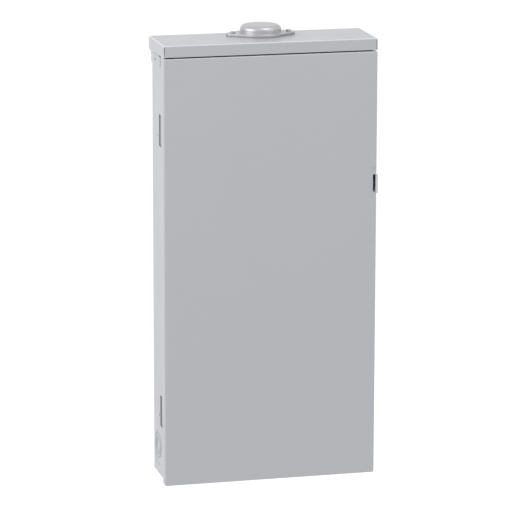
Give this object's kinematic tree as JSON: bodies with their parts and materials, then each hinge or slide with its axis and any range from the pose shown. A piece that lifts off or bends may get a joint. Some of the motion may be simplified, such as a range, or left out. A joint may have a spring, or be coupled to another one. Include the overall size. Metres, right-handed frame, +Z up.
{
  "type": "residential load center",
  "caption": "Rainproof residential load center: folded steel box with hood, hinged latched door, bolted hub closing plate, and inside it main and branch breakers on bus bars.",
  "frame": {"origin": "centre of the enclosure's back face, which lies against the wall", "axes": "+Y points to the wall, +Z is up, +X is to the right as seen from the front"},
  "size_m": [0.3792, 0.118, 0.7914],
  "materials": {
    "enamel": "satin light grey baked enamel",
    "cast_zinc": "satin die casting",
    "gasket_rubber": "matte",
    "zinc_plate": "bright zinc plate",
    "galvanized": "galvanized sheet",
    "aluminium": "drawn, tin plated",
    "black_moulding": "matte moulded",
    "handle_plastic": "semi-gloss moulded",
    "green_screw": "dyed plating",
    "card": "uncoated card"
  },
  "bodies": {
    "enclosure": {"enclosure_body": "enamel", "bottom_end_wall": "enamel", "hood": "enamel", "hinge_bracket_upper": "enamel", "hinge_bracket_lower": "enamel", "hinge_rivet_upper": "enamel", "hinge_rivet_lower": "enamel", "hood_rivet_left": "enamel", "hood_rivet_right": "enamel", "deadfront_cover": "enamel", "hub_closing_plate": "cast_zinc", "hub_gasket": "gasket_rubber", "hub_stud_left": "zinc_plate", "hub_stud_right": "zinc_plate", "hub_nut_left": "zinc_plate", "hub_nut_right": "zinc_plate", "hinge_pin_upper": "zinc_plate", "hinge_pin_lower": "zinc_plate", "latch_bracket": "zinc_plate", "latch_pin": "zinc_plate", "latch_spring": "zinc_plate", "interior_screw_left": "zinc_plate", "interior_screw_right": "zinc_plate", "deadfront_screw_top_left": "zinc_plate", "deadfront_screw_top_right": "zinc_plate", "deadfront_screw_bottom_left": "zinc_plate", "deadfront_screw_bottom_right": "zinc_plate", "deadfront_rail_top": "galvanized", "deadfront_rail_bottom": "galvanized", "interior_pan": "galvanized", "line_bus_left": "aluminium", "line_bus_right": "aluminium", "neutral_bar_left": "aluminium", "neutral_bar_right": "aluminium", "neutral_strap": "aluminium", "neutral_lug": "aluminium", "ground_bar": "aluminium", "main_line_lug_left": "aluminium", "main_line_lug_right": "aluminium", "insulator_base": "black_moulding", "main_breaker_case": "black_moulding", "branch_case_left_1": "black_moulding", "branch_case_left_2": "black_moulding", "branch_case_left_3": "black_moulding", "branch_case_right_1": "black_moulding", "branch_case_right_2": "black_moulding", "branch_case_right_3": "black_moulding", "bonding_screw": "green_screw"},
    "door": {"door_panel": "enamel", "directory_card": "card", "hinge_leaf_upper": "enamel", "hinge_leaf_lower": "enamel"},
    "latch": {"latch_lever": "zinc_plate"},
    "main_handle": {"main_breaker_handle": "handle_plastic"},
    "branch_handle_left_1": {"branch_handle_left_1": "handle_plastic"},
    "branch_handle_left_2": {"branch_handle_left_2": "handle_plastic"},
    "branch_handle_left_3": {"branch_handle_left_3": "handle_plastic"},
    "branch_handle_right_1": {"branch_handle_right_1": "handle_plastic"},
    "branch_handle_right_2": {"branch_handle_right_2": "handle_plastic"},
    "branch_handle_right_3": {"branch_handle_right_3": "handle_plastic"}
  },
  "joints": [
    {"name": "door_hinge", "type": "hinge", "parent": "enclosure", "child": "door", "pos_m": [-0.185, -0.096, 0], "axis": [0, 0, -1], "range_deg": [0, 130]},
    {"name": "latch_pivot", "type": "hinge", "parent": "enclosure", "child": "latch", "pos_m": [0.186, -0.078, 0.1315], "axis": [0, 0, 1], "range_deg": [0, 12], "stiffness_Nm_per_rad": 0.15, "springref_deg": -5.73},
    {"name": "main_handle_pivot", "type": "hinge", "parent": "enclosure", "child": "main_handle", "pos_m": [0, -0.078, 0.155], "axis": [1, 0, 0], "range_deg": [0, 32]},
    {"name": "branch_handle_pivot_left_1", "type": "hinge", "parent": "enclosure", "child": "branch_handle_left_1", "pos_m": [-0.041, -0.08, 0.028], "axis": [0, 0, -1], "range_deg": [0, 30]},
    {"name": "branch_handle_pivot_left_2", "type": "hinge", "parent": "enclosure", "child": "branch_handle_left_2", "pos_m": [-0.041, -0.08, 0.0026], "axis": [0, 0, -1], "range_deg": [0, 30]},
    {"name": "branch_handle_pivot_left_3", "type": "hinge", "parent": "enclosure", "child": "branch_handle_left_3", "pos_m": [-0.041, -0.08, -0.0228], "axis": [0, 0, -1], "range_deg": [0, 30]},
    {"name": "branch_handle_pivot_right_1", "type": "hinge", "parent": "enclosure", "child": "branch_handle_right_1", "pos_m": [0.041, -0.08, 0.028], "axis": [0, 0, 1], "range_deg": [0, 30]},
    {"name": "branch_handle_pivot_right_2", "type": "hinge", "parent": "enclosure", "child": "branch_handle_right_2", "pos_m": [0.041, -0.08, 0.0026], "axis": [0, 0, 1], "range_deg": [0, 30]},
    {"name": "branch_handle_pivot_right_3", "type": "hinge", "parent": "enclosure", "child": "branch_handle_right_3", "pos_m": [0.041, -0.08, -0.0228], "axis": [0, 0, 1], "range_deg": [0, 30]}
  ]
}
